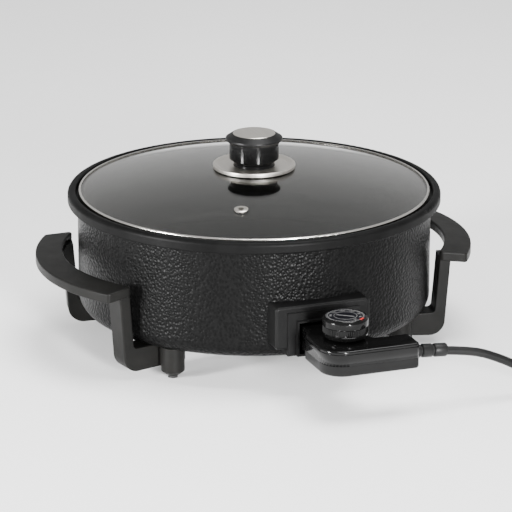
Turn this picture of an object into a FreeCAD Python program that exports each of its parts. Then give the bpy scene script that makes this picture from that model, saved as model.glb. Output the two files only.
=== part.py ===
import FreeCAD, Part
import math
import os
import Sketcher

# A round electric skillet: a deep pan with a black outer wall, a glass lid with a
# knob, two side grips on four legs, and a plug-in temperature control whose dial
# stands on top and whose mains cord leaves to the right.
#
# Millimetres. +Z is up and the table is z = 0. The front, where the control plugs
# in, is -Y and the grips are on -X and +X. x = 0, y = 0 is the middle of the
# skillet with its control, so the pan's own axis stands at y = pan_y.

driving = {
    # pan
    "rim_radius": 180.0,
    "rim_height": 147.0,
    "rim_crown": 1.5,
    "rim_drop": 10.0,
    "rim_round": 4.0,
    "lip_radius": 172.0,
    "ledge_drop": 4.0,
    "ledge_thick": 3.5,
    "bowl_radius": 162.5,
    "bowl_wall": 3.0,
    "floor_height": 70.0,
    "floor_thick": 3.5,
    "bowl_corner": 14.0,
    "leg_top": 87.5,
    "ear_top": 86.0,
    "play": 0.05,
    "screw_radius": 2.0,
    "wall_radius": 170.5,
    "jacket_thick": 1.2,
    "base_height": 31.0,
    "base_corner": 16.0,
    "flange_radius": 100.0,
    "fit_gap": 0.2,
    "boss_spacing": 75.0,
    "boss_radius": 6.0,
    "cover_radius": 113.0,
    "cover_thick": 1.2,
    "vent_ring": 60.0,
    "cover_vent_radius": 4.0,
    # heating
    "element_radius": 4.25,
    "element_ring": 80.0,
    "element_bend": 14.0,
    "element_end": 152.0,
    "spreader_radius": 96.0,
    "clamp_width": 12.0,
    "clamp_sheet": 1.2,
    "clamp_foot": 9.0,
    "pin_offset": 12.0,
    "pin_radius": 2.75,
    "pin_end": 184.0,
    "bead_length": 6.0,
    "probe_height": 58.0,
    "probe_radius": 3.0,
    "probe_tip": 112.0,
    "probe_root": 196.0,
    "well_half": 6.5,
    "well_back": 102.0,
    "well_front": 158.0,
    "well_drop": 7.0,
    # socket on the pan's wall
    "socket_half": 46.85,
    "socket_low": 47.0,
    "socket_high": 88.4,
    "socket_front": 184.0,
    "socket_wall": 3.0,
    "step_half": 35.5,
    "step_low": 41.0,
    "step_high": 82.4,
    "step_front": 186.2,
    "opening_half": 25.6,
    "opening_low": 43.0,
    "opening_high": 73.2,
    "opening_lip": 1.8,
    "lip_front": 190.0,
    "insulator_back": 164.4,
    "insulator_thick": 1.4,
    "insulator_margin": 3.5,
    "socket_screw_x": 38.0,
    "socket_screw_z": 67.0,
    "earth_width": 10.0,
    "earth_sheet": 0.8,
    # grips and legs
    "grip_centre": 43.0,
    "grip_inner": 144.4,
    "grip_outer": 170.6,
    "grip_inner_top": 93.8,
    "grip_outer_top": 91.0,
    "grip_thick": 9.2,
    "grip_end_x": 154.7,
    "grip_end_y": 92.5,
    "grip_end_angle": 16.0,
    "leg_angle": 12.0,
    "leg_origin_x": 100.8,
    "leg_width": 22.0,
    "leg_thick": 11.0,
    "leg_lean": 5.0,
    "leg_origin_y": 67.3,
    "leg_corner": 15.0,
    "arm_length": 66.0,
    "arm_low": 8.0,
    "ear_length": 13.0,
    "ear_half": 8.0,
    "ear_thick": 3.5,
    "leg_screw_reach": 10.0,
    "post_reach": 20.2,
    "post_side": 22.0,
    "post_radius": 11.2,
    "post_taper_low": 2.4,
    "post_taper_high": 7.0,
    "foot_radius": 4.6,
    "foot_stem": 2.6,
    "foot_stem_length": 6.0,
    # lid
    "band_gap": 2.7,
    "band_sheet": 1.0,
    "band_reach": 3.2,
    "seat_gap": 0.3,
    "glass_thick": 3.6,
    "glass_rise": 21.7,
    "glass_hole": 4.2,
    "vent_radius": 112.0,
    "vent_angle": -26.5,
    "eyelet_bore": 2.6,
    "eyelet_tube": 3.5,
    "eyelet_flange": 6.6,
    "plate_radius": 39.7,
    "plate_sheet": 1.0,
    "plate_lip": 2.5,
    "seal_radius": 13.0,
    "seal_thick": 0.8,
    "knob_foot": 20.2,
    "knob_radius": 23.9,
    "knob_lip": 24.7,
    "knob_ring": 27.6,
    "knob_core": 16.0,
    "knob_body_height": 22.7,
    "knob_height": 31.7,
    "cap_radius": 20.4,
    "cap_thick": 1.6,
    "knob_screw_radius": 2.0,
    # plug-in control
    "case_low": 45.5,
    "case_high": 70.0,
    "case_split": 55.5,
    "case_wall": 2.5,
    "case_round": 2.6,
    "case_nose": 170.0,
    "neck_half": 22.5,
    "dial_reach": 232.0,
    "dial_x": 3.0,
    "case_toe": 38.0,
    "case_left": 28.8,
    "case_bend": 21.4,
    "case_right": 61.5,
    "arm_width": 29.0,
    "dial_radius": 21.2,
    "dial_foot": 71.2,
    "dial_high": 91.5,
    "dial_face_radius": 18.8,
    "dial_face_thick": 0.8,
    "dial_wall": 2.6,
    "spindle_radius": 3.0,
    "cam_radius": 7.0,
    "cam_low": 61.0,
    "sleeve_radius": 3.6,
    "case_screw_radius": 1.4,
    "case_boss_radius": 3.0,
    # cord
    "cord_radius": 4.1,
    "relief_angle": 4.0,
    "relief_length": 32.0,
    "relief_radius": 6.4,
    "relief_neck": 5.2,
    "relief_tail": 14.0,
    "lead_radius": 1.2,
    "coil_x": 255.2,
    "coil_y": -311.85,
    "coil_outer": 55.85,
    "coil_pitch": 9.7,
    "plug_length": 36.0,
    "plug_radius": 18.5,
    "plug_grip_radius": 12.0,
    "plug_sleeve_radius": 6.5,
    "plug_sleeve_length": 18.0,
    "plug_pin_radius": 2.4,
    "plug_pin_length": 19.0,
    "plug_pin_spacing": 19.0,
}

doc = FreeCAD.newDocument("skillet")


# A number together with the sheet formula that gives it, so that one piece of
# arithmetic places a sketch point and also binds its dimension to the sheet.
class Size:
    def __init__(self, value, text):
        self.value = value
        self.text = text

    def __add__(self, other):
        other = as_size(other)
        return Size(self.value + other.value, "(%s + %s)" % (self.text, other.text))

    def __sub__(self, other):
        other = as_size(other)
        return Size(self.value - other.value, "(%s - %s)" % (self.text, other.text))

    def __mul__(self, other):
        other = as_size(other)
        return Size(self.value * other.value, "(%s * %s)" % (self.text, other.text))

    def __truediv__(self, other):
        other = as_size(other)
        return Size(self.value / other.value, "(%s / %s)" % (self.text, other.text))

    def __neg__(self):
        return Size(-self.value, "(0 - %s)" % self.text)

    __radd__ = __add__
    __rmul__ = __mul__

    def __rsub__(self, other):
        return as_size(other) - self


def as_size(number):
    if isinstance(number, Size):
        return number
    return Size(float(number), "%.6f" % number)


def root(size):
    return Size(math.sqrt(size.value), "sqrt(%s)" % size.text)


def sine(angle):
    return Size(math.sin(math.radians(angle.value)), "sin(%s)" % angle.text)


def cosine(angle):
    return Size(math.cos(math.radians(angle.value)), "cos(%s)" % angle.text)


def make_sheet():
    sheet = doc.addObject("Spreadsheet::Sheet", "Sizes")
    for row, (name, value) in enumerate(driving.items(), start=1):
        sheet.set("A%d" % row, name)
        sheet.set("B%d" % row, "%g" % value)
        sheet.setAlias("B%d" % row, name)
    doc.recompute()


class Sheet:
    pass


s = Sheet()
for size_name, size_value in driving.items():
    setattr(s, size_name, Size(size_value, "Sizes." + size_name))

# Derived places that several pieces share.
s.band_radius = s.lip_radius - s.band_gap
s.case_front = s.dial_reach + s.case_toe
pan_y = (s.case_front - s.rim_radius) / 2
rim_top = s.rim_height + s.rim_crown
rim_low = s.rim_height - s.rim_drop
ledge = s.rim_height - s.ledge_drop
ledge_under = ledge - s.ledge_thick
floor_under = s.floor_height - s.floor_thick
flange_top = s.base_height + s.jacket_thick
jacket_inner = s.wall_radius - s.jacket_thick
element_top = s.probe_height + s.element_radius

turn_front = FreeCAD.Rotation(FreeCAD.Vector(1, 0, 0), 90)
turn_right = FreeCAD.Rotation(FreeCAD.Vector(0, 1, 0), 90)
turn_down = FreeCAD.Rotation(FreeCAD.Vector(1, 0, 0), 180)


def bind(item, path, size):
    item.setExpression(path, as_size(size).text)


# Bodies, sketches and features

def new_body(name, x=0, y=0, z=0, angle=None, axis=(0, 0, 1)):
    body = doc.addObject("PartDesign::Body", name)
    body.Label = name
    if angle is not None:
        start = FreeCAD.Rotation(FreeCAD.Vector(*axis), as_size(angle).value)
        body.Placement = FreeCAD.Placement(FreeCAD.Vector(), start)
        bind(body, "Placement.Rotation.Angle", angle)
    bind(body, "Placement.Base.x", x)
    bind(body, "Placement.Base.y", pan_y + y)
    bind(body, "Placement.Base.z", z)
    return body


def new_sketch(body, plane, height=None):
    sketch = body.newObject("Sketcher::SketchObject", body.Name + "_sketch")
    for feature in body.Origin.OriginFeatures:
        if feature.Role == plane:
            sketch.AttachmentSupport = (feature, [""])
    sketch.MapMode = "FlatFace"
    if height is not None:
        bind(sketch, "AttachmentOffset.Base.z", height)
    return sketch


def fix_point(sketch, geometry, end, x, y):
    for kind, axis_line, size in (("DistanceX", -2, as_size(x)), ("DistanceY", -1, as_size(y))):
        if size.value == 0:
            sketch.addConstraint(Sketcher.Constraint("PointOnObject", geometry, end, axis_line))
            continue
        index = sketch.addConstraint(Sketcher.Constraint(kind, -1, 1, geometry, end, size.value))
        sketch.setExpression("Constraints[%d]" % index, size.text)


def fix_radius(sketch, geometry, radius):
    index = sketch.addConstraint(Sketcher.Constraint("Radius", geometry, radius.value))
    sketch.setExpression("Constraints[%d]" % index, radius.text)


# A corner is (x, y), or (x, y, radius, "left" or "right") where an arc that turns
# that way runs from it to the next corner.
def draw(sketch, corners, closed=True):
    corners = [tuple(corner) for corner in corners]
    count = len(corners) if closed else len(corners) - 1
    first = sketch.GeometryCount
    ends = []
    for index in range(count):
        here = corners[index]
        there = corners[(index + 1) % len(corners)]
        a = FreeCAD.Vector(as_size(here[0]).value, as_size(here[1]).value, 0)
        b = FreeCAD.Vector(as_size(there[0]).value, as_size(there[1]).value, 0)
        if len(here) == 2:
            sketch.addGeometry(Part.LineSegment(a, b), False)
            ends.append((1, 2))
            continue
        radius = as_size(here[2])
        left = here[3] == "left"
        chord = b - a
        side = FreeCAD.Vector(-chord.y, chord.x, 0).normalize()
        rise = math.sqrt(max(radius.value ** 2 - (chord.Length / 2) ** 2, 0))
        centre = (a + b) * 0.5 + side * (rise if left else -rise)
        start, stop = (a, b) if left else (b, a)
        low = math.atan2(start.y - centre.y, start.x - centre.x)
        high = math.atan2(stop.y - centre.y, stop.x - centre.x)
        if high <= low:
            high += 2 * math.pi
        ring = Part.Circle(centre, FreeCAD.Vector(0, 0, 1), radius.value)
        sketch.addGeometry(Part.ArcOfCircle(ring, low, high), False)
        ends.append((1, 2) if left else (2, 1))
    for index in range(count):
        fix_point(sketch, first + index, ends[index][0], corners[index][0], corners[index][1])
        if closed or index < count - 1:
            after = (index + 1) % count
            sketch.addConstraint(Sketcher.Constraint(
                "Coincident", first + index, ends[index][1], first + after, ends[after][0]))
        if len(corners[index]) > 2:
            fix_radius(sketch, first + index, as_size(corners[index][2]))
    if not closed:
        fix_point(sketch, first + count - 1, ends[-1][1], corners[-1][0], corners[-1][1])


def draw_box(sketch, x_low, x_high, y_low, y_high):
    draw(sketch, [(x_low, y_low), (x_high, y_low), (x_high, y_high), (x_low, y_high)])


def draw_circle(sketch, x, y, radius):
    radius = as_size(radius)
    middle = FreeCAD.Vector(as_size(x).value, as_size(y).value, 0)
    index = sketch.addGeometry(Part.Circle(middle, FreeCAD.Vector(0, 0, 1), radius.value), False)
    fix_radius(sketch, index, radius)
    fix_point(sketch, index, 3, x, y)


def pad(body, sketch, length, backwards=False):
    item = body.newObject("PartDesign::Pad", body.Name + "_pad")
    item.Profile = sketch
    bind(item, "Length", length)
    item.Reversed = backwards
    return item


def pocket(body, sketch, length=None, forwards=False):
    item = body.newObject("PartDesign::Pocket", body.Name + "_pocket")
    item.Profile = sketch
    item.Reversed = forwards
    if length is None:
        item.Type = "ThroughAll"
    else:
        bind(item, "Length", length)
    return item


def revolve(body, corners):
    sketch = new_sketch(body, "XZ_Plane")
    draw(sketch, corners)
    item = body.newObject("PartDesign::Revolution", body.Name + "_turn")
    item.Profile = sketch
    item.ReferenceAxis = (sketch, ["V_Axis"])
    item.Angle = 360
    return item


def round_edges(body, radius, test):
    doc.recompute()
    base = body.Tip
    names = ["Edge%d" % (number + 1) for number, edge in enumerate(base.Shape.Edges) if test(edge)]
    if not names:
        raise RuntimeError("no edge to round on " + body.Name)
    item = body.newObject("PartDesign::Fillet", body.Name + "_round")
    item.Base = (base, names)
    bind(item, "Radius", radius)
    return item


def edge_span(edge):
    box = edge.BoundBox
    return box.XLength, box.YLength, box.ZLength


def is_upright(edge):
    wide, deep, high = edge_span(edge)
    return wide < 0.01 and deep < 0.01 and high > 0.01


def at_height(edge, height):
    box = edge.BoundBox
    return abs(box.ZMin - height) < 0.01 and abs(box.ZMax - height) < 0.01


# Plain round stock and groups of like pieces

def place(item, x, y, z):
    bind(item, "Placement.Base.x", x)
    bind(item, "Placement.Base.y", pan_y + y)
    bind(item, "Placement.Base.z", z)


def rod(name, radius, length, x, y, z, turn=None):
    item = doc.addObject("Part::Cylinder", name)
    if turn is not None:
        item.Placement = FreeCAD.Placement(FreeCAD.Vector(), turn)
    bind(item, "Radius", radius)
    bind(item, "Height", length)
    place(item, x, y, z)
    return item


def fuse(name, pieces):
    item = doc.addObject("Part::MultiFuse", name)
    item.Shapes = pieces
    item.Label = name
    return item


def cut(name, base, tool):
    item = doc.addObject("Part::Cut", name)
    item.Base = base
    item.Tool = tool
    item.Label = name
    return item


def group(name, pieces):
    item = doc.addObject("Part::Compound", name)
    item.Links = pieces
    item.Label = name
    return item


nodes = []


def keep(item):
    nodes.append(item)
    return item


# The pan

boss_places = [(s.boss_spacing, s.boss_spacing), (-s.boss_spacing, s.boss_spacing),
               (-s.boss_spacing, -s.boss_spacing), (s.boss_spacing, -s.boss_spacing)]
corners_of_pan = [("front_right", 1, -1), ("rear_right", 1, 1), ("rear_left", -1, 1), ("front_left", -1, -1)]


def leg_place(reach, side, sign_x, sign_y):
    x = s.leg_origin_x + reach * cosine(s.leg_angle) - side * sine(s.leg_angle)
    y = s.leg_origin_y + reach * sine(s.leg_angle) + side * cosine(s.leg_angle)
    return x * sign_x, y * sign_y


def pan_bowl():
    body = new_body("pan_bowl")
    outside = s.bowl_radius + s.bowl_wall
    slot = s.wall_radius + s.fit_gap
    outer_corner = s.bowl_corner + 2
    low_round = 2
    revolve(body, [
        (0, floor_under), (outside - outer_corner, floor_under, outer_corner, "left"),
        (outside, floor_under + outer_corner), (outside, ledge_under), (slot, ledge_under), (slot, rim_low),
        (s.rim_radius - low_round, rim_low, low_round, "left"), (s.rim_radius, rim_low + low_round),
        (s.rim_radius, rim_top - s.rim_round, s.rim_round, "left"), (s.rim_radius - s.rim_round, rim_top),
        (s.lip_radius + low_round, rim_top, low_round, "left"), (s.lip_radius, rim_top - low_round),
        (s.lip_radius, ledge), (s.bowl_radius + low_round, ledge, low_round, "left"),
        (s.bowl_radius, ledge - low_round), (s.bowl_radius, s.floor_height + s.bowl_corner, s.bowl_corner, "right"),
        (s.bowl_radius - s.bowl_corner, s.floor_height), (0, s.floor_height)])
    sketch = new_sketch(body, "XY_Plane", flange_top)
    for x, y in boss_places:
        draw_circle(sketch, x, y, s.boss_radius)
    pad(body, sketch, floor_under - flange_top)
    sketch = new_sketch(body, "XY_Plane", flange_top)
    for x, y in boss_places:
        draw_circle(sketch, x, y, s.screw_radius + s.play)
    pocket(body, sketch, 14, forwards=True)
    return body


def pan_jacket():
    body = new_body("pan_jacket")
    top = ledge_under - s.fit_gap * 3
    bend = s.base_corner - s.jacket_thick
    revolve(body, [
        (s.flange_radius, s.base_height), (s.wall_radius - s.base_corner, s.base_height, s.base_corner, "left"),
        (s.wall_radius, s.base_height + s.base_corner), (s.wall_radius, top), (jacket_inner, top),
        (jacket_inner, flange_top + bend, bend, "right"), (jacket_inner - bend, flange_top),
        (s.flange_radius, flange_top)])
    margin = 1.5
    sketch = new_sketch(body, "XZ_Plane", s.socket_front)
    draw_box(sketch, -s.opening_half - margin, s.opening_half + margin, s.opening_low, s.opening_high)
    for sign in (-1, 1):
        draw_circle(sketch, s.socket_screw_x * sign, s.socket_screw_z, s.screw_radius)
    pocket(body, sketch, 40)
    sketch = new_sketch(body, "XY_Plane", s.base_height)
    for x, y in boss_places:
        draw_circle(sketch, x, y, s.screw_radius + s.fit_gap)
    for name, sign_x, sign_y in corners_of_pan:
        x, y = leg_place(s.leg_screw_reach, as_size(0), sign_x, sign_y)
        draw_circle(sketch, x, y, s.screw_radius + s.fit_gap)
    pocket(body, sketch, 3, forwards=True)
    return body


def base_cover():
    body = new_body("base_cover")
    sketch = new_sketch(body, "XY_Plane", s.base_height - s.cover_thick)
    draw_circle(sketch, 0, 0, s.cover_radius)
    for x, y in boss_places:
        draw_circle(sketch, x, y, s.screw_radius + s.fit_gap)
    vents = 8
    for index in range(vents):
        angle = math.radians(360.0 * index / vents)
        draw_circle(sketch, s.vent_ring * math.cos(angle), s.vent_ring * math.sin(angle), s.cover_vent_radius)
    pad(body, sketch, s.cover_thick)
    return body


def upright_screw(name, x, y, shoulder, length, head, head_thick, shank):
    rod_item = rod(name + "_shank", shank, length, x, y, shoulder)
    head_item = rod(name + "_head", head, head_thick, x, y, shoulder - head_thick)
    return fuse(name, [rod_item, head_item])


def base_cover_screws():
    pieces = []
    for index, (x, y) in enumerate(boss_places):
        pieces.append(upright_screw("cover_screw_%d" % index, x, y, s.base_height - s.cover_thick,
                                    as_size(14), as_size(3.8), as_size(2.2), s.screw_radius))
    return group("base_cover_screws", pieces)


# The heater

clamp_angles = (-30, 90, 210)
clamp_screw_reach = s.element_radius + s.clamp_sheet + s.clamp_foot / 2


def clamp_screw_places():
    places = []
    for angle in clamp_angles:
        turn = as_size(angle)
        for sign in (-1, 1):
            reach = s.element_ring + clamp_screw_reach * sign
            places.append((reach * cosine(turn), reach * sine(turn)))
    return places


def heat_spreader():
    body = new_body("heat_spreader")
    sketch = new_sketch(body, "XY_Plane", element_top)
    draw_circle(sketch, 0, 0, s.spreader_radius)
    pad(body, sketch, floor_under - element_top)
    sketch = new_sketch(body, "XY_Plane", element_top)
    for x, y in clamp_screw_places():
        draw_circle(sketch, x, y, s.case_screw_radius + s.play)
    pocket(body, sketch, 3.2, forwards=True)
    return body


def heating_element():
    body = new_body("heating_element")
    swing = s.element_ring + s.element_bend
    across = s.pin_offset + s.element_bend
    along = -root(swing * swing - across * across)
    share = s.element_ring / swing
    path = new_sketch(body, "XY_Plane", s.probe_height)
    draw(path, [
        (s.pin_offset, -s.element_end), (s.pin_offset, along, s.element_bend, "right"),
        (across * share, along * share, s.element_ring, "left"), (0, s.element_ring, s.element_ring, "left"),
        (-across * share, along * share, s.element_bend, "right"), (-s.pin_offset, along),
        (-s.pin_offset, -s.element_end)], closed=False)
    section = new_sketch(body, "XZ_Plane", s.element_end)
    draw_circle(section, s.pin_offset, s.probe_height, s.element_radius)
    item = body.newObject("PartDesign::AdditivePipe", "element_sweep")
    item.Profile = section
    item.Spine = path
    return body


def element_clamp(index, angle):
    name = "element_clamp_%d" % index
    turn = as_size(angle)
    body = new_body(name, s.element_ring * cosine(turn), s.element_ring * sine(turn), 0, turn)
    sagitta = s.clamp_width * s.clamp_width / (s.element_ring * 8)
    inner = s.element_radius + s.play + sagitta
    outer = inner + s.clamp_sheet
    toe = outer + s.clamp_foot
    middle = s.probe_height
    sketch = new_sketch(body, "XZ_Plane", -s.clamp_width / 2)
    draw(sketch, [
        (-toe, element_top - s.clamp_sheet), (-outer, element_top - s.clamp_sheet),
        (-outer, middle, outer, "left"), (0, middle - outer, outer, "left"), (outer, middle),
        (outer, element_top - s.clamp_sheet), (toe, element_top - s.clamp_sheet), (toe, element_top),
        (inner, element_top), (inner, middle, inner, "right"), (0, middle - inner, inner, "right"),
        (-inner, middle), (-inner, element_top), (-toe, element_top)])
    pad(body, sketch, s.clamp_width)
    sketch = new_sketch(body, "XY_Plane", element_top)
    for sign in (-1, 1):
        draw_circle(sketch, clamp_screw_reach * sign, 0, s.case_screw_radius + s.play)
    pocket(body, sketch, 3)
    return body


def element_clamps():
    return group("element_clamps", [element_clamp(index, angle) for index, angle in enumerate(clamp_angles)])


def clamp_screws():
    pieces = []
    for index, (x, y) in enumerate(clamp_screw_places()):
        pieces.append(upright_screw("clamp_screw_%d" % index, x, y, element_top - s.clamp_sheet,
                                    as_size(4), as_size(2.6), as_size(1.6), s.case_screw_radius))
    return group("clamp_screws", pieces)


def terminal_pins():
    pieces = []
    for sign in (-1, 1):
        pieces.append(rod("terminal_pin_%d" % (sign + 1), s.pin_radius, s.pin_end - s.element_end,
                          s.pin_offset * sign, -s.element_end, s.probe_height, turn_front))
    return group("terminal_pins", pieces)


def ring_piece(name, inner, outer, length, x, y, z, turn=None):
    outside = rod(name + "_outside", outer, length, x, y, z, turn)
    inside = rod(name + "_inside", inner, length, x, y, z, turn)
    return cut(name, outside, inside)


def terminal_beads():
    pieces = []
    for sign in (-1, 1):
        pieces.append(ring_piece("terminal_bead_%d" % (sign + 1), s.pin_radius + s.play, s.element_radius,
                                 s.bead_length, s.pin_offset * sign, -s.element_end - 0.2, s.probe_height,
                                 turn_front))
    return group("terminal_beads", pieces)


def probe_well():
    body = new_body("probe_well")
    sketch = new_sketch(body, "XZ_Plane", s.well_back)
    draw_box(sketch, -s.well_half, s.well_half, s.probe_height - s.well_drop, floor_under)
    pad(body, sketch, s.well_front - s.well_back)
    sketch = new_sketch(body, "XZ_Plane", s.well_front)
    draw_circle(sketch, 0, s.probe_height, s.probe_radius + s.play)
    pocket(body, sketch, s.well_front - s.probe_tip + 1)
    return body


# The socket

def socket_housing():
    body = new_body("socket_housing")
    start = as_size(150)
    sketch = new_sketch(body, "XZ_Plane", start)
    draw_box(sketch, -s.socket_half, s.socket_half, s.socket_low, s.socket_high)
    pad(body, sketch, s.socket_front - start)
    front = -s.socket_front.value
    round_edges(body, 4, lambda edge: edge_span(edge)[1] > 10)
    round_edges(body, 2.5, lambda edge: edge.BoundBox.YMax < front + 0.01)
    sketch = new_sketch(body, "XZ_Plane", start)
    draw_box(sketch, -s.step_half, s.step_half, s.step_low, s.step_high)
    pad(body, sketch, s.step_front - start)
    lip_half = s.opening_half + s.opening_lip
    sketch = new_sketch(body, "XZ_Plane", start)
    draw_box(sketch, -lip_half, lip_half, s.step_low, s.opening_high + s.opening_lip)
    pad(body, sketch, s.lip_front - start)
    wall = s.socket_wall
    inner_x = s.socket_half - wall
    sleeve_x = lip_half + 1
    sketch = new_sketch(body, "XZ_Plane", start)
    draw_box(sketch, sleeve_x, inner_x, s.socket_low + wall, s.socket_high - wall)
    draw_box(sketch, -inner_x, -sleeve_x, s.socket_low + wall, s.socket_high - wall)
    pocket(body, sketch, s.socket_front - wall - start, forwards=True)
    sketch = new_sketch(body, "XZ_Plane", start)
    for sign in (-1, 1):
        draw_circle(sketch, s.socket_screw_x * sign, s.socket_screw_z, 4.2)
    pad(body, sketch, s.socket_front - wall - start + 0.5)
    sketch = new_sketch(body, "XZ_Plane", start)
    draw_box(sketch, -s.opening_half, s.opening_half, s.opening_low, s.opening_high)
    pocket(body, sketch, 60, forwards=True)
    sketch = new_sketch(body, "XZ_Plane", start)
    for sign in (-1, 1):
        draw_circle(sketch, s.socket_screw_x * sign, s.socket_screw_z, s.case_screw_radius + s.play)
    pocket(body, sketch, 30.5, forwards=True)
    sketch = new_sketch(body, "XY_Plane")
    draw_circle(sketch, 0, 0, s.wall_radius + s.fit_gap)
    pocket(body, sketch, forwards=True)
    return body


def socket_insulator():
    body = new_body("socket_insulator")
    sketch = new_sketch(body, "XZ_Plane", s.insulator_back)
    half = s.opening_half + s.insulator_margin
    draw_box(sketch, -half, half, s.opening_low - 1, s.opening_high + 3)
    for sign in (-1, 1):
        draw_circle(sketch, s.pin_offset * sign, s.probe_height, s.pin_radius + s.play)
    draw_circle(sketch, 0, s.probe_height, s.probe_radius + 1)
    pad(body, sketch, s.insulator_thick)
    return body


def socket_screws():
    pieces = []
    for sign in (-1, 1):
        name = "socket_screw_%d" % (sign + 1)
        shank = rod(name + "_shank", s.case_screw_radius, 16, s.socket_screw_x * sign, -164, s.socket_screw_z,
                    turn_front)
        head = rod(name + "_head", 2.8, 2, s.socket_screw_x * sign, -162, s.socket_screw_z, turn_front)
        pieces.append(fuse(name, [shank, head]))
    return group("socket_screws", pieces)


def earth_spring():
    body = new_body("earth_spring")
    sketch = new_sketch(body, "YZ_Plane", -s.earth_width / 2)
    low = s.opening_low + s.play
    sheet = s.earth_sheet
    rise = s.case_low - 0.35 - sheet - low
    draw(sketch, [
        (-188, low), (-186, low), (-181, low + rise), (-179, low + rise), (-174, low), (-172, low),
        (-172, low + sheet), (-173.7, low + sheet), (-178.7, low + rise + sheet), (-181.3, low + rise + sheet),
        (-186.3, low + sheet), (-188, low + sheet)])
    pad(body, sketch, s.earth_width)
    return body


# Grips, legs and feet

def grip(name, turn):
    body = new_body(name, s.grip_centre * (1 if turn == 0 else -1), 0, 0, turn)
    sketch = new_sketch(body, "XZ_Plane")
    draw(sketch, [
        (s.grip_inner, s.grip_inner_top - s.grip_thick), (s.grip_outer, s.grip_outer_top - s.grip_thick),
        (s.grip_outer, s.grip_outer_top), (s.grip_inner, s.grip_inner_top)])
    item = body.newObject("PartDesign::Revolution", name + "_turn")
    item.Profile = sketch
    item.ReferenceAxis = (sketch, ["V_Axis"])
    item.Angle = 96
    item.Midplane = True
    sketch = new_sketch(body, "XY_Plane", 60)
    base_x = s.grip_end_x - s.grip_centre
    back = 30
    far = 60
    for sign in (-1, 1):
        points = [
            (base_x - back * cosine(s.grip_end_angle), (s.grip_end_y - back * sine(s.grip_end_angle)) * sign),
            (base_x + far * cosine(s.grip_end_angle), (s.grip_end_y + far * sine(s.grip_end_angle)) * sign),
            (base_x + far, as_size(170 * sign)), (base_x - back * 2, as_size(170 * sign))]
        draw(sketch, points if sign > 0 else points[::-1])
    pocket(body, sketch, 60, forwards=True)
    round_edges(body, 4, is_upright)
    top_of = lambda edge: edge.BoundBox.ZMin > s.grip_outer_top.value - 0.01
    round_edges(body, 1.6, top_of)
    low_of = lambda edge: edge.BoundBox.ZMax < s.grip_inner_top.value - s.grip_thick.value + 0.01
    round_edges(body, 1.0, low_of)
    gap = s.play * 3
    strap = s.arm_length + s.leg_lean + gap
    strap_in = s.arm_length - s.leg_thick - gap
    half = s.leg_width / 2 + gap
    ear_half = s.ear_half + gap
    ear_end = s.arm_length + s.leg_lean + s.ear_length + gap
    for top, spans in ((s.leg_top + gap, ((strap_in, strap, half),)),
                       (s.ear_top + gap, ((strap - 2, ear_end, ear_half),))):
        sketch = new_sketch(body, "XY_Plane", 60)
        for low, high, side in spans:
            for sign in (-1, 1):
                points = []
                for reach, across in ((low, -side), (high, -side), (high, side), (low, side)):
                    x, y = leg_place(reach, across, 1, sign)
                    points.append((x - s.grip_centre, y))
                draw(sketch, points if sign > 0 else points[::-1])
        pocket(body, sketch, top - 60, forwards=True)
    sketch = new_sketch(body, "XY_Plane", 60)
    for sign in (-1, 1):
        x, y = leg_place(ear_screw_reach, as_size(0), 1, sign)
        draw_circle(sketch, x - s.grip_centre, y, s.case_screw_radius + s.play)
    pocket(body, sketch, s.ear_top - s.ear_thick + ear_screw_length + 0.3 - 60, forwards=True)
    return body


ear_screw_reach = s.arm_length + s.leg_lean + s.ear_length / 2 + 1
ear_screw_length = 6.8


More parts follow.
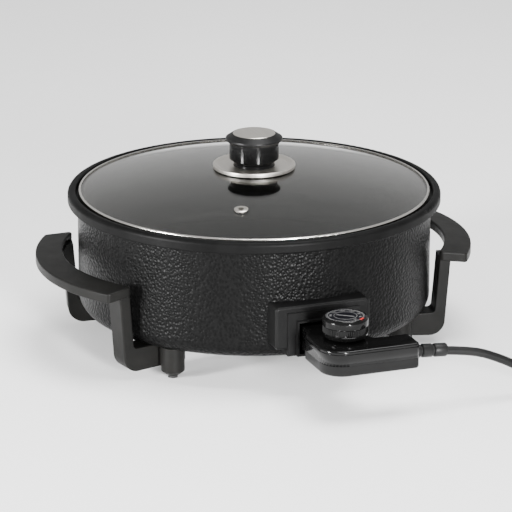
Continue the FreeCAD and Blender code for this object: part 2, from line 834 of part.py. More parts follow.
def leg(name, sign_x, sign_y):
    angle = s.leg_angle * sign_y if sign_x > 0 else 180 - s.leg_angle * sign_y
    body = new_body(name, s.leg_origin_x * sign_x, s.leg_origin_y * sign_y, 0, angle)
    side = sign_x * sign_y
    outer = s.arm_length
    inner = s.arm_length - s.leg_thick
    heel = 4
    slope = s.leg_lean / (s.leg_top - s.arm_low - s.leg_corner)
    crook = inner + slope * (s.base_height + heel - s.arm_low - s.leg_corner)
    sketch = new_sketch(body, "XZ_Plane", -s.leg_width / 2)
    draw(sketch, [
        (0, s.arm_low + 2), (outer - s.leg_corner, s.arm_low, s.leg_corner, "left"),
        (outer, s.arm_low + s.leg_corner), (outer + s.leg_lean, s.leg_top), (inner + s.leg_lean, s.leg_top),
        (crook, s.base_height + heel, heel, "right"), (crook - heel, s.base_height), (0, s.base_height)])
    pad(body, sketch, s.leg_width)
    long_edges = lambda edge: edge_span(edge)[2] > 40
    round_edges(body, 1.2, long_edges)
    sketch = new_sketch(body, "XY_Plane", s.ear_top - s.ear_thick)
    draw_box(sketch, outer, outer + s.leg_lean + s.ear_length, -s.ear_half, s.ear_half)
    pad(body, sketch, s.ear_thick)
    post_x = s.post_reach
    post_y = s.post_side * side
    web = s.post_radius * 0.72
    sketch = new_sketch(body, "XY_Plane", s.arm_low + 2)
    rows = (s.leg_width / 2 - 2, s.post_side) if side > 0 else (-s.post_side, 2 - s.leg_width / 2)
    draw_box(sketch, post_x - web, post_x + web, rows[0], rows[1])
    pad(body, sketch, s.base_height - s.fit_gap - s.arm_low - 2)
    sketch = new_sketch(body, "XY_Plane", s.post_taper_high)
    draw_circle(sketch, post_x, post_y, s.post_radius)
    pad(body, sketch, s.base_height - s.fit_gap - s.post_taper_high)
    low = new_sketch(body, "XY_Plane", s.post_taper_low)
    draw_circle(low, post_x, post_y, s.foot_radius + 0.8)
    high = new_sketch(body, "XY_Plane", s.post_taper_high)
    draw_circle(high, post_x, post_y, s.post_radius)
    item = body.newObject("PartDesign::AdditiveLoft", name + "_taper")
    item.Profile = low
    item.Sections = [high]
    sketch = new_sketch(body, "XY_Plane", s.post_taper_low)
    draw_circle(sketch, post_x, post_y, s.foot_stem + s.play)
    pocket(body, sketch, s.foot_stem_length + 0.3, forwards=True)
    sketch = new_sketch(body, "XY_Plane")
    draw_circle(sketch, s.leg_screw_reach, 0, s.screw_radius + s.fit_gap)
    pocket(body, sketch, 40, forwards=True)
    sketch = new_sketch(body, "XY_Plane")
    draw_circle(sketch, s.leg_screw_reach, 0, 4.6)
    pocket(body, sketch, 20, forwards=True)
    sketch = new_sketch(body, "XY_Plane", s.ear_top - s.ear_thick - 1)
    draw_circle(sketch, ear_screw_reach, 0, s.case_screw_radius + s.fit_gap)
    pocket(body, sketch, 6, forwards=True)
    return body


def feet():
    pieces = []
    for name, sign_x, sign_y in corners_of_pan:
        x, y = leg_place(s.post_reach, s.post_side, sign_x, sign_y)
        nub = rod("foot_nub_" + name, s.foot_radius, s.post_taper_low, x, y, 0)
        stem = rod("foot_stem_" + name, s.foot_stem, s.foot_stem_length, x, y, s.post_taper_low)
        pieces.append(fuse("foot_" + name, [nub, stem]))
    return group("feet", pieces)


def grip_screws():
    pieces = []
    for name, sign_x, sign_y in corners_of_pan:
        x, y = leg_place(ear_screw_reach, as_size(0), sign_x, sign_y)
        pieces.append(upright_screw("grip_screw_" + name, x, y, s.ear_top - s.ear_thick, as_size(ear_screw_length),
                                    as_size(2.8), as_size(1.8), s.case_screw_radius))
    return group("grip_screws", pieces)


def leg_screws():
    pieces = []
    for name, sign_x, sign_y in corners_of_pan:
        x, y = leg_place(s.leg_screw_reach, as_size(0), sign_x, sign_y)
        pieces.append(upright_screw("leg_screw_" + name, x, y, as_size(20), as_size(17),
                                    as_size(3.8), as_size(3.5), s.screw_radius))
    return group("leg_screws", pieces)


def leg_nuts():
    pieces = []
    for name, sign_x, sign_y in corners_of_pan:
        x, y = leg_place(s.leg_screw_reach, as_size(0), sign_x, sign_y)
        item = doc.addObject("Part::Prism", "leg_nut_hex_" + name)
        item.Polygon = 6
        item.Circumradius = 4.2
        item.Height = 3.2
        place(item, x, y, flange_top)
        hole = rod("leg_nut_hole_" + name, s.screw_radius + s.play, 3.2, x, y, flange_top)
        pieces.append(cut("leg_nut_" + name, item, hole))
    return group("leg_nuts", pieces)


# The lid

band_low = ledge + s.seat_gap
edge_low = band_low + s.band_sheet + s.play
edge_high = edge_low + s.glass_thick
dome_foot = s.band_radius - s.band_reach
dome_radius = (dome_foot * dome_foot + s.glass_rise * s.glass_rise) / (2 * s.glass_rise)
dome_centre = edge_high + s.glass_rise - dome_radius
dome_top = edge_high + s.glass_rise
plate_low = dome_top + s.seal_thick
plate_high = plate_low + s.plate_sheet
knob_top = plate_high + s.knob_height
vent_x = s.vent_radius * sine(s.vent_angle)
vent_y = -s.vent_radius * cosine(s.vent_angle)


def dome_height(radius, inset=0):
    ball = dome_radius - inset
    return dome_centre + root(ball * ball - radius * radius)


def lid_band():
    body = new_body("lid_band")
    sheet = s.band_sheet
    high = edge_high + s.play + sheet
    reach = s.band_radius - s.band_reach + 1
    revolve(body, [
        (reach, band_low), (s.band_radius - 1, band_low, 1, "left"), (s.band_radius, band_low + 1),
        (s.band_radius, high - 1, 1, "left"), (s.band_radius - 1, high), (reach, high), (reach, high - sheet),
        (s.band_radius - sheet, high - sheet), (s.band_radius - sheet, band_low + sheet),
        (reach, band_low + sheet)])
    return body


def lid_glass():
    body = new_body("lid_glass")
    edge = s.band_radius - s.band_sheet - s.play
    inner = dome_radius - s.glass_thick
    under_foot = root(inner * inner - (edge_low - dome_centre) * (edge_low - dome_centre))
    revolve(body, [
        (under_foot, edge_low), (edge, edge_low), (edge, edge_high),
        (dome_foot, edge_high, dome_radius, "left"), (s.glass_hole, dome_height(s.glass_hole)),
        (s.glass_hole, dome_height(s.glass_hole, s.glass_thick), inner, "right")])
    sketch = new_sketch(body, "XY_Plane", band_low)
    draw_circle(sketch, vent_x, vent_y, s.eyelet_tube + 0.7)
    pocket(body, sketch, forwards=True)
    return body


def vent_eyelet():
    tilt = math.degrees(math.asin(s.vent_radius.value / dome_radius.value))
    angle = Size(tilt, "asin(%s)" % (s.vent_radius / dome_radius).text)
    direction = (-vent_y.value, vent_x.value, 0)
    body = new_body("vent_eyelet", vent_x, vent_y, dome_height(s.vent_radius), angle, direction)
    low = -s.glass_thick - 0.15
    revolve(body, [
        (s.eyelet_bore, low - 0.6), (s.eyelet_flange - 1.6, low - 0.6), (s.eyelet_flange - 1.6, low),
        (s.eyelet_tube, low), (s.eyelet_tube, 0.05), (s.eyelet_flange, 0.05), (s.eyelet_flange, 0.6),
        (s.eyelet_flange - 1, 1.1), (s.eyelet_bore, 1.1)])
    return body


def knob_plate():
    body = new_body("knob_plate")
    rim = s.plate_radius
    rim_foot = dome_height(rim) + s.seat_gap
    revolve(body, [
        (s.knob_screw_radius + 0.2, plate_low), (rim - 5.5, plate_low), (rim - 1.2, rim_foot),
        (rim, rim_foot + 0.8), (rim, plate_low + s.plate_lip - 1, 1, "left"), (rim - 1, plate_low + s.plate_lip),
        (rim - 2.5, plate_low + s.plate_lip), (rim - 6.5, plate_high), (s.knob_screw_radius + 0.2, plate_high)])
    return body


def knob_body():
    body = new_body("knob_body")
    low = plate_high
    shoulder = low + s.knob_body_height
    core_top = knob_top - s.cap_thick - 0.1
    hole = s.knob_screw_radius + s.play
    revolve(body, [
        (hole, low), (s.knob_foot, low), (s.knob_foot - 0.8, low + 2.2), (s.knob_foot + 0.4, low + 4),
        (s.knob_foot + 0.6, low + 5), (s.knob_radius, low + 6.8), (s.knob_radius, shoulder),
        (s.knob_core, shoulder), (s.knob_core, core_top), (hole, core_top)])
    return body


def knob_ring():
    body = new_body("knob_ring")
    low = plate_high + s.knob_body_height + s.play
    inner = s.knob_core + s.play
    seat = s.cap_radius + s.play
    revolve(body, [
        (inner, low), (s.knob_lip, low), (s.knob_lip + 1, low + 1), (s.knob_ring, low + 3.2),
        (s.knob_ring - 0.4, low + 4.6), (seat + 0.6, knob_top - 0.4), (seat, knob_top - 0.4),
        (seat, knob_top - s.cap_thick - s.play), (inner, knob_top - s.cap_thick - s.play)])
    return body


def knob_cap():
    body = new_body("knob_cap")
    edge = 0.4
    revolve(body, [
        (0, knob_top - s.cap_thick), (s.cap_radius, knob_top - s.cap_thick), (s.cap_radius, knob_top - edge),
        (s.cap_radius - edge, knob_top), (0, knob_top)])
    return body


def knob_seal():
    return ring_piece("knob_seal", s.glass_hole, s.seal_radius, s.seal_thick, 0, 0, dome_top)


def knob_washer():
    return ring_piece("knob_washer", s.knob_screw_radius + 0.2, 9, 1.2, 0, 0, dome_top - s.glass_thick - 1.35)


def knob_screw():
    low = dome_top - s.glass_thick - 1.35
    return upright_screw("knob_screw", 0, 0, low, as_size(26), as_size(4.4), as_size(2.4), s.knob_screw_radius)


# The plug-in control

case_screw_places = [(-21, -s.dial_reach - 8), (8, -s.dial_reach - 31), (46, -s.dial_reach - 15.2)]
cheek_y = s.dial_radius - s.dial_reach - 2.2
neck_end_y = cheek_y + 8


def case_plan(inset):
    inset = as_size(inset)
    side = s.neck_half - inset
    nose = -s.case_nose - inset
    left = inset - s.case_left
    big = s.case_bend - inset
    low = inset - s.case_front
    right = s.case_right - inset
    bend = 4 - inset * 0.8
    arm = s.arm_width - s.case_front - inset
    crook = 6 + inset
    flank = s.dial_x + s.dial_radius + 1.3 - inset
    return [
        (-side, nose), (-side, neck_end_y), (left, cheek_y), (left, low + big, big, "left"), (left + big, low),
        (right - bend, low, bend, "left"), (right, low + bend), (right, arm - bend, bend, "left"),
        (right - bend, arm), (flank + crook, arm, crook, "right"), (flank, arm + crook), (flank, cheek_y),
        (side, neck_end_y), (side, nose)]


def neck_corner(edge):
    return is_upright(edge) and edge.BoundBox.YMax > -s.case_nose.value - 0.01


def relief_hole(body):
    sketch = new_sketch(body, "YZ_Plane", s.case_right + 1)
    draw_circle(sketch, relief_y, relief_z, s.relief_neck + 0.4)
    pocket(body, sketch, s.case_wall + 2)


def nose_window(body):
    sketch = new_sketch(body, "XZ_Plane", s.case_nose - 1)
    side = block_half + s.play
    draw_box(sketch, -side, side, block_low - s.play, block_high + s.play)
    pocket(body, sketch, s.case_wall + 2, forwards=True)


relief_y = -s.dial_reach - 23
relief_z = 57.3
block_half = s.neck_half - s.case_wall - 1.1
block_low = s.case_low + s.case_wall + 1.6
block_high = s.case_high - s.case_wall - 1.6


def control_case_top():
    body = new_body("control_case_top")
    sketch = new_sketch(body, "XY_Plane", s.case_split)
    draw(sketch, case_plan(0))
    pad(body, sketch, s.case_high - s.case_split)
    round_edges(body, 3, neck_corner)
    round_edges(body, s.case_round, lambda edge: at_height(edge, s.case_high.value))
    room = s.case_high - s.case_wall - s.case_split
    sketch = new_sketch(body, "XY_Plane", s.case_split)
    draw(sketch, case_plan(s.case_wall))
    pocket(body, sketch, room, forwards=True)
    sketch = new_sketch(body, "XY_Plane", s.case_split)
    for x, y in case_screw_places:
        draw_circle(sketch, x, y, s.case_boss_radius)
    pad(body, sketch, room)
    sketch = new_sketch(body, "XY_Plane", s.case_split)
    for x, y in case_screw_places:
        draw_circle(sketch, x, y, s.case_screw_radius + s.play)
    pocket(body, sketch, room - 1, forwards=True)
    sketch = new_sketch(body, "XY_Plane", s.case_split)
    draw_circle(sketch, s.dial_x, -s.dial_reach, s.spindle_radius + s.play)
    pocket(body, sketch, forwards=True)
    relief_hole(body)
    nose_window(body)
    return body


def control_case_bottom():
    body = new_body("control_case_bottom")
    sketch = new_sketch(body, "XY_Plane", s.case_low)
    draw(sketch, case_plan(0))
    pad(body, sketch, s.case_split - s.case_low)
    round_edges(body, 3, neck_corner)
    round_edges(body, s.case_round, lambda edge: at_height(edge, s.case_low.value))
    floor = s.case_low + s.case_wall
    sketch = new_sketch(body, "XY_Plane", floor)
    draw(sketch, case_plan(s.case_wall))
    pocket(body, sketch, 20, forwards=True)
    sketch = new_sketch(body, "XY_Plane", floor)
    for x, y in case_screw_places:
        draw_circle(sketch, x, y, s.case_boss_radius)
    pad(body, sketch, s.case_split - floor)
    sketch = new_sketch(body, "XY_Plane", s.case_low - 1)
    for x, y in case_screw_places:
        draw_circle(sketch, x, y, s.case_screw_radius + s.fit_gap)
    pocket(body, sketch, 20, forwards=True)
    sketch = new_sketch(body, "XY_Plane", s.case_low - 1)
    for x, y in case_screw_places:
        draw_circle(sketch, x, y, s.case_boss_radius - 0.4)
    pocket(body, sketch, 3, forwards=True)
    relief_hole(body)
    nose_window(body)
    return body


def case_screws():
    pieces = []
    for index, (x, y) in enumerate(case_screw_places):
        pieces.append(upright_screw("case_screw_%d" % index, x, y, s.case_low + 2, as_size(18.5),
                                    s.case_boss_radius - 0.6, as_size(1.7), s.case_screw_radius))
    return group("case_screws", pieces)


def probe_rod():
    item = rod("probe_rod", s.probe_radius, s.probe_root - s.probe_tip, 0, -s.probe_tip, s.probe_height, turn_front)
    item.Label = "probe_rod"
    return item


block_depth = 12


def probe_collar():
    return ring_piece("probe_collar", s.probe_radius + s.play, 5.5, 2, 0, -s.case_nose - 0.2 - block_depth,
                      s.probe_height, turn_front)


def contact_block():
    body = new_body("contact_block")
    sketch = new_sketch(body, "XZ_Plane", s.case_nose + 0.2)
    draw_box(sketch, -block_half, block_half, block_low, block_high)
    for sign in (-1, 1):
        draw_circle(sketch, s.pin_offset * sign, s.probe_height, s.sleeve_radius + s.play)
    draw_circle(sketch, 0, s.probe_height, s.probe_radius + s.play)
    pad(body, sketch, block_depth)
    return body


def contact_sleeves():
    pieces = []
    for sign in (-1, 1):
        pieces.append(ring_piece("contact_sleeve_%d" % (sign + 1), s.pin_radius + s.play + 0.03, s.sleeve_radius,
                                 20, s.pin_offset * sign, -s.case_nose - 0.6, s.probe_height, turn_front))
    return group("contact_sleeves", pieces)


def switch_frame():
    body = new_body("switch_frame")
    half = 5
    sketch = new_sketch(body, "YZ_Plane", -half)
    low = s.case_low + s.case_wall
    back = 6 - s.dial_reach
    front = -s.probe_root - 2
    draw(sketch, [
        (back, low), (front, low), (front, low + 2), (back + 5, low + 2), (back + 5, s.cam_low - 0.6),
        (back, s.cam_low - 0.6)])
    pad(body, sketch, half * 2)
    return body


def strip(name, half, y_low, y_high, z_low, thick):
    item = doc.addObject("Part::Box", name)
    item.Label = name
    bind(item, "Length", half * 2)
    bind(item, "Width", y_high - y_low)
    bind(item, "Height", thick)
    place(item, -as_size(half), y_low, z_low)
    return item


def bimetal_blade():
    return strip("bimetal_blade", 3, 11 - s.dial_reach, -s.probe_root, s.probe_height - 0.4, 0.8)


def contact_leaf():
    return strip("contact_leaf", 3, 11 - s.dial_reach, -s.probe_root - 7, s.probe_height - 4.4, 0.6)


def cord_clamp():
    body = new_body("cord_clamp")
    sketch = new_sketch(body, "YZ_Plane", s.case_right - 10.7)
    inner = s.cord_radius + 0.3
    outer = inner + 3
    low = s.case_low + s.case_wall
    crown = relief_z + s.cord_radius + 1.5
    draw(sketch, [
        (relief_y - outer, low), (relief_y - inner, low), (relief_y - inner, crown), (relief_y + inner, crown),
        (relief_y + inner, low), (relief_y + outer, low), (relief_y + outer, crown + 2),
        (relief_y - outer, crown + 2)])
    pad(body, sketch, 4.6)
    return body


def strain_relief():
    body = new_body("strain_relief", s.case_right, relief_y, relief_z, 90 + s.relief_angle, (0, 1, 0))
    bore = s.cord_radius
    inside = -s.case_wall
    rib = s.relief_radius
    neck = s.relief_neck
    end = s.relief_length
    revolve(body, [
        (bore, inside - 2.4), (rib, inside - 2.4), (rib, inside - 0.4), (neck, inside - 0.4), (neck, 0.4),
        (rib, 1.2), (rib, 6), (neck, 7), (neck, 8.4), (rib, 9.4), (rib, 16.2), (neck, 17.2), (neck, 18.6),
        (rib, 19.6), (rib, end - 1), (rib - 1, end), (bore, end)])
    return body


# The cord: straight runs joined by tangent arcs, then piled loops

def smooth_path(points):
    points = [FreeCAD.Vector(*point) for point in points]
    edges = []
    radii = []
    here = points[0]
    for before, corner, after in zip(points, points[1:], points[2:]):
        back = before - corner
        ahead = after - corner
        shorter = min(back.Length, ahead.Length)
        turn = math.pi - back.getAngle(ahead)
        reach = 0.45 * shorter
        radii.append(reach / math.tan(turn / 2))
        start = corner + back.normalize() * reach
        stop = corner + ahead.normalize() * reach
        middle = (back + ahead).normalize()
        bulge = radii[-1] / math.cos(turn / 2) - radii[-1]
        edges.append(Part.LineSegment(here, start).toShape())
        edges.append(Part.Arc(start, corner + middle * bulge, stop).toShape())
        here = stop
    edges.append(Part.LineSegment(here, points[-1]).toShape())
    return Part.Wire(edges), radii


def tube(name, wire, radius, heading):
    start = wire.OrderedVertexes[0].Point
    ring = Part.Wire([Part.Circle(start, heading, radius).toShape()])
    solid = wire.makePipeShell([ring], True, False)
    item = doc.addObject("Part::Feature", name)
    item.Label = name
    item.Shape = solid
    bind(item, "Placement.Base.y", pan_y)
    share = solid.Volume / (math.pi * radius ** 2 * wire.Length)
    print("%s: length %.1f, volume to section and length %.4f" % (name, wire.Length, share))
    return item


def path_tube(name, points, radius):
    wire, radii = smooth_path(points)
    print(name + ": bend radii " + ", ".join("%.1f" % value for value in radii))
    heading = FreeCAD.Vector(*points[1]) - FreeCAD.Vector(*points[0])
    return tube(name, wire, radius, heading)


cord = s.cord_radius.value
cord_low = cord + 0.1
layer_rise = 2 * cord + 0.5
relief_turn = math.radians(s.relief_angle.value)
relief_ahead = (math.cos(relief_turn), -math.sin(relief_turn))
coil_start_y = s.coil_y.value + s.coil_outer.value


def along_relief(distance):
    return (s.case_right.value + distance * relief_ahead[0], relief_y.value, relief_z + distance * relief_ahead[1])


def mains_cord():
    return path_tube("mains_cord", [
        along_relief(-14), along_relief(51.5), (150, -256, 39.5), (181, -256.6, 21.0),
        (217, coil_start_y, cord_low), (s.coil_x.value - 2 * cord, coil_start_y, cord_low)], cord)


def coil_point(across, along, height):
    return FreeCAD.Vector(s.coil_x.value + along, s.coil_y.value + across, height)


def coil_path():
    step = s.coil_pitch.value / 2
    low = cord_low
    high = cord_low + layer_rise
    lead = 2 * cord
    radius = s.coil_outer.value
    first_layer = 4
    second_layer = 3
    start = radius
    edges = [Part.LineSegment(coil_point(start, -lead, low), coil_point(start, 0, low)).toShape()]
    across = start
    for index in range(first_layer):
        sign = 1 if index % 2 == 0 else -1
        centre = across - sign * radius
        top = coil_point(centre, sign * radius, low)
        stop = centre - sign * radius
        edges.append(Part.Arc(coil_point(across, 0, low), top, coil_point(stop, 0, low)).toShape())
        across = stop
        radius -= step
    radius = across
    middle = math.hypot(2 * radius, layer_rise) / 2
    edges.append(Part.Arc(coil_point(across, 0, low), coil_point(0, middle, (low + high) / 2),
                          coil_point(-across, 0, high)).toShape())
    across = -across
    for index in range(second_layer):
        sign = -1 if index % 2 == 0 else 1
        radius = abs(across) + (step if index % 2 == 0 else 0)
        centre = across - sign * radius
        top = coil_point(centre, sign * radius, high)
        stop = centre - sign * radius
        edges.append(Part.Arc(coil_point(across, 0, high), top, coil_point(stop, 0, high)).toShape())
        across = stop
    edges.append(Part.LineSegment(coil_point(across, 0, high), coil_point(across, lead, high)).toShape())
    return Part.Wire(edges), across


def self_gap(wire, radius):
    count = int(wire.Length / 3)
    points = wire.discretize(Number=count)
    skip = int(10 * radius / 3)
    least = 1e9
    for index, point in enumerate(points):
        for other in points[index + skip:]:
            least = min(least, (point - other).Length)
    return least - 2 * radius


def cord_coil():
    wire, across = coil_path()
    print("cord_coil: least gap to itself %.2f" % self_gap(wire, cord))
    return tube("cord_coil", wire, cord, FreeCAD.Vector(1, 0, 0))


def tail_points():
    across = coil_path()[1]
    high = cord_low + layer_rise
    x = s.coil_x.value + 2 * cord
    y = s.coil_y.value + across
    rest = s.plug_radius.value + 0.2
    return [(x, y, high), (x + 31, y, high), (x + 61, y - 6, rest), (x + 89, y - 6, rest)]


def cord_tail():
    return path_tube("cord_tail", tail_points(), cord)


def plug_body():
    x, y, z = tail_points()[-1]
    body = new_body("plug_body", x, y, z, 90 * as_size(1), (0, 1, 0))
    sleeve = s.plug_sleeve_radius
    sleeve_end = s.plug_sleeve_length
    face = sleeve_end + s.plug_length
    revolve(body, [
        (0, 0), (sleeve, 0), (sleeve + 1, sleeve_end), (s.plug_grip_radius, sleeve_end + 8),
        (s.plug_grip_radius + 1, face - 14), (s.plug_radius, face - 8), (s.plug_radius, face), (0, face)])
    return body


def plug_pins():
    x, y, z = tail_points()[-1]
    pieces = []
    for sign in (-1, 1):
        pieces.append(rod("plug_pin_%d" % (sign + 1), s.plug_pin_radius, s.plug_pin_length,
                          x + s.plug_sleeve_length + s.plug_length, y + s.plug_pin_spacing / 2 * sign, z,
                          turn_right))
    return group("plug_pins", pieces)


def inner_leads():
    start = along_relief(-14.2)
    height = start[2]
    pin = s.pin_offset.value
    axis = s.probe_height.value
    back = -s.case_nose.value - 20.8
    dial = -s.dial_reach.value
    near = start[1] + 1.6
    far = start[1] - 1.6
    routes = (
        ((start[0], near, height), (24, near, height), (pin, dial + 3, axis), (pin, back, axis)),
        ((start[0], far, height), (2, far, height), (-pin - 1, dial - 9, height + 1),
         (-pin, dial + 6, axis), (-pin, back, axis)))
    pieces = [path_tube("inner_lead_%d" % index, route, s.lead_radius.value)
              for index, route in enumerate(routes)]
    return group("inner_leads", pieces)


# The dial

def dial_knob():
    body = new_body("dial_knob", s.dial_x, -s.dial_reach)
    hole = s.spindle_radius + s.play
    roof = s.dial_high - 3.5
    seat = s.dial_face_radius + s.play
    skirt = s.dial_radius - 1.5
    revolve(body, [
        (skirt - 2.2, s.dial_foot), (skirt, s.dial_foot), (s.dial_radius, s.dial_foot + 4.3),
        (s.dial_radius, s.dial_high - 2), (s.dial_radius - 2, s.dial_high), (seat, s.dial_high),
        (seat, s.dial_high - s.dial_face_thick - 0.2), (0, s.dial_high - s.dial_face_thick - 0.2),
        (0, roof), (hole, roof), (hole, s.dial_foot + 1.2), (hole + 2.4, s.dial_foot + 1.2), (hole + 2.4, roof - 0.6),
        (s.dial_radius - s.dial_wall, roof - 0.6)])
    return body


def dial_face():
    item = rod("dial_face", s.dial_face_radius, s.dial_face_thick, s.dial_x, -s.dial_reach,
               s.dial_high - s.dial_face_thick - 0.2)
    item.Label = "dial_face"
    return item


def dial_spindle():
    high = s.dial_high - 3.6
    shaft = rod("spindle_shaft", s.spindle_radius, high - s.cam_low, s.dial_x, -s.dial_reach, s.cam_low)
    cam = rod("spindle_cam", s.cam_radius, 3, s.dial_x, -s.dial_reach, s.cam_low)
    return fuse("dial_spindle", [shaft, cam])


makers = [
    pan_bowl, pan_jacket, base_cover, base_cover_screws, heat_spreader, heating_element, element_clamps,
    clamp_screws, terminal_pins, terminal_beads, probe_well, socket_housing, socket_insulator, socket_screws,
    earth_spring, feet, grip_screws, leg_screws, leg_nuts, lid_band, lid_glass, vent_eyelet, knob_plate,
    knob_body, knob_ring, knob_cap, knob_seal, knob_washer, knob_screw, control_case_top, control_case_bottom,
    case_screws, probe_rod, probe_collar, contact_block, contact_sleeves, switch_frame, bimetal_blade,
    contact_leaf, cord_clamp, strain_relief, mains_cord, cord_coil, cord_tail, plug_body, plug_pins,
    inner_leads, dial_knob, dial_face, dial_spindle,
]


def check_all():
    failed = []
    for item in doc.Objects:
        if "Invalid" in item.State or "Error" in item.State:
            failed.append(item.Name)
    for item in nodes:
        shape = item.Shape
        if shape.isNull() or not shape.isValid() or not shape.Solids:
            failed.append("shape of " + item.Label)
    if failed:
        raise RuntimeError("failed: " + ", ".join(failed))


def main():
    make_sheet()
    for maker in makers:
        keep(maker())
    keep(grip("grip_left", 180))
    keep(grip("grip_right", 0))
    for name, sign_x, sign_y in corners_of_pan:
        keep(leg("leg_" + name, sign_x, sign_y))
    doc.recompute()
    check_all()
    os.makedirs("parts", exist_ok=True)
    for item in nodes:
        item.Shape.exportStep("parts/" + item.Label + ".step")
        box = item.Shape.BoundBox
        print("%-20s solids %d volume %.0f z %.1f to %.1f" % (
            item.Label, len(item.Shape.Solids), item.Shape.Volume, box.ZMin, box.ZMax))
    print("%d nodes" % len(nodes))


main()
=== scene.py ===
import bpy
import bmesh
import math
from mathutils import Matrix, Vector


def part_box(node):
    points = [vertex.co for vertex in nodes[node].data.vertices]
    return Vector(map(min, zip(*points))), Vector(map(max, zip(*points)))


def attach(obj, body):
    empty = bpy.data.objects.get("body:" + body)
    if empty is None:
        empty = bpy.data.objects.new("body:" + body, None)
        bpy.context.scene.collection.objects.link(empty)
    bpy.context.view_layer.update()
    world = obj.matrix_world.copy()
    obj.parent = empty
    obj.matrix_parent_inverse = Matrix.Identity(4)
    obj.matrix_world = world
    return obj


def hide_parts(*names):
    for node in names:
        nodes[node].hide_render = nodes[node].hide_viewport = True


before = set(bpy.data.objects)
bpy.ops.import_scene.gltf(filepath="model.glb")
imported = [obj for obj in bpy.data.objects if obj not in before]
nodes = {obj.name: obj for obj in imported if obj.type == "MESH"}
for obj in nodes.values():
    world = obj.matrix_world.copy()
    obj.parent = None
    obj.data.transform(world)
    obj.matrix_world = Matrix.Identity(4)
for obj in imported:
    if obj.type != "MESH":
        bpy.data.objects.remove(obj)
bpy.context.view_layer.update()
mm = 0.001
bowlLow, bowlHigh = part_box("pan_bowl")
panY = (bowlLow.y + bowlHigh.y) / 2     # the pan's own axis stands behind the frame's origin
print("frame loaded")


viewOfPan = {"azimuth": -20.3, "elevation": 17.81, "distance": 3442.67 * mm, "aimHeight": 78.6 * mm,
             "lens": 249.3, "shiftX": 0.0037}


def placeCamera(v):
    azimuth = math.radians(v["azimuth"])
    elevation = math.radians(v["elevation"])
    back = Vector((math.sin(azimuth) * math.cos(elevation), -math.cos(azimuth) * math.cos(elevation),
                   math.sin(elevation)))
    right = Vector((math.cos(azimuth), math.sin(azimuth), 0))
    up = back.cross(right)
    data = bpy.data.cameras.new("camera")
    data.lens = v["lens"]
    data.sensor_width = 36
    data.shift_x = v["shiftX"]
    data.clip_end = 50
    camera = bpy.data.objects.new("camera", data)
    bpy.context.scene.collection.objects.link(camera)
    turn = Matrix((right, up, back)).transposed().to_4x4()
    place = Vector((0, panY, v["aimHeight"])) + back * v["distance"]
    camera.matrix_world = Matrix.Translation(place) @ turn
    bpy.context.scene.camera = camera


placeCamera(viewOfPan)


def startMaterial(name):
    material = bpy.data.materials.new(name)
    material.use_nodes = True
    tree = material.node_tree
    shader = tree.nodes["Principled BSDF"]
    place = tree.nodes.new("ShaderNodeTexCoord").outputs["Object"]
    return material, tree, shader, place


def addNoise(tree, place, scale, detail=3.0):
    noise = tree.nodes.new("ShaderNodeTexNoise")
    noise.inputs["Scale"].default_value = scale
    noise.inputs["Detail"].default_value = detail
    tree.links.new(place, noise.inputs["Vector"])
    return noise.outputs["Fac"]


def addRamp(tree, value, low, high, start=0.35, end=0.65):
    ramp = tree.nodes.new("ShaderNodeValToRGB")
    ramp.color_ramp.elements[0].position = start
    ramp.color_ramp.elements[1].position = end
    ramp.color_ramp.elements[0].color = (*low, 1)
    ramp.color_ramp.elements[1].color = (*high, 1)
    tree.links.new(value, ramp.inputs["Fac"])
    return ramp.outputs["Color"]


def addRange(tree, value, low, high):
    spread = tree.nodes.new("ShaderNodeMapRange")
    spread.inputs["To Min"].default_value = low
    spread.inputs["To Max"].default_value = high
    tree.links.new(value, spread.inputs["Value"])
    return spread.outputs["Result"]


def addBump(tree, shader, value, strength, depth):
    bump = tree.nodes.new("ShaderNodeBump")
    bump.inputs["Strength"].default_value = strength
    bump.inputs["Distance"].default_value = depth
    tree.links.new(value, bump.inputs["Height"])
    tree.links.new(bump.outputs["Normal"], shader.inputs["Normal"])


def grey(value):
    return (value, value, value)


plasticGrain = {"mottleScale": 35, "polishScale": 90, "smoother": 0.05, "rougher": 0.06, "detail": 4,
                "bumpStrength": 0.35}


def mouldedPlastic(name, dark, light, roughness, grainScale, grainDepth, specular=0.5):
    g = plasticGrain
    material, tree, shader, place = startMaterial(name)
    shader.inputs["Specular IOR Level"].default_value = specular
    tree.links.new(addRamp(tree, addNoise(tree, place, g["mottleScale"]), dark, light), shader.inputs["Base Color"])
    polish = addNoise(tree, place, g["polishScale"])
    tree.links.new(addRange(tree, polish, roughness - g["smoother"], roughness + g["rougher"]),
                   shader.inputs["Roughness"])
    addBump(tree, shader, addNoise(tree, place, grainScale, g["detail"]), g["bumpStrength"], grainDepth)
    return material


# hammered paint; its dark and light colours are painted shade in each dimple's hollow and a painted highlight on its
# ridge, not a real change of paint colour
hammerMarksAndDimpleShade = {"specular": 0.045, "cellsPerMetre": 360, "dark": grey(0.0015), "light": grey(0.004), "hollowShadeUpTo": 0.1,
               "ridgeHighlightFrom": 0.7, "polishScale": 60, "roughness": (0.28, 0.34), "bumpStrength": 0.7,
               "bumpDepth": 0.0009}


def hammeredPaintWithDimpleShade(h):
    material, tree, shader, place = startMaterial("hammeredPaintWithDimpleShade")
    shader.inputs["Specular IOR Level"].default_value = h["specular"]
    cells = tree.nodes.new("ShaderNodeTexVoronoi")
    cells.feature = "F1"
    cells.inputs["Scale"].default_value = h["cellsPerMetre"]
    tree.links.new(place, cells.inputs["Vector"])
    depth = cells.outputs["Distance"]
    # base colour follows the dimple depth: painted shade at the bottom of each hollow, painted highlight on the
    # ridges between them
    tree.links.new(addRamp(tree, depth, h["dark"], h["light"], h["hollowShadeUpTo"], h["ridgeHighlightFrom"]),
                   shader.inputs["Base Color"])
    tree.links.new(addRange(tree, addNoise(tree, place, h["polishScale"]), *h["roughness"]),
                   shader.inputs["Roughness"])
    addBump(tree, shader, depth, h["bumpStrength"], h["bumpDepth"])
    return material


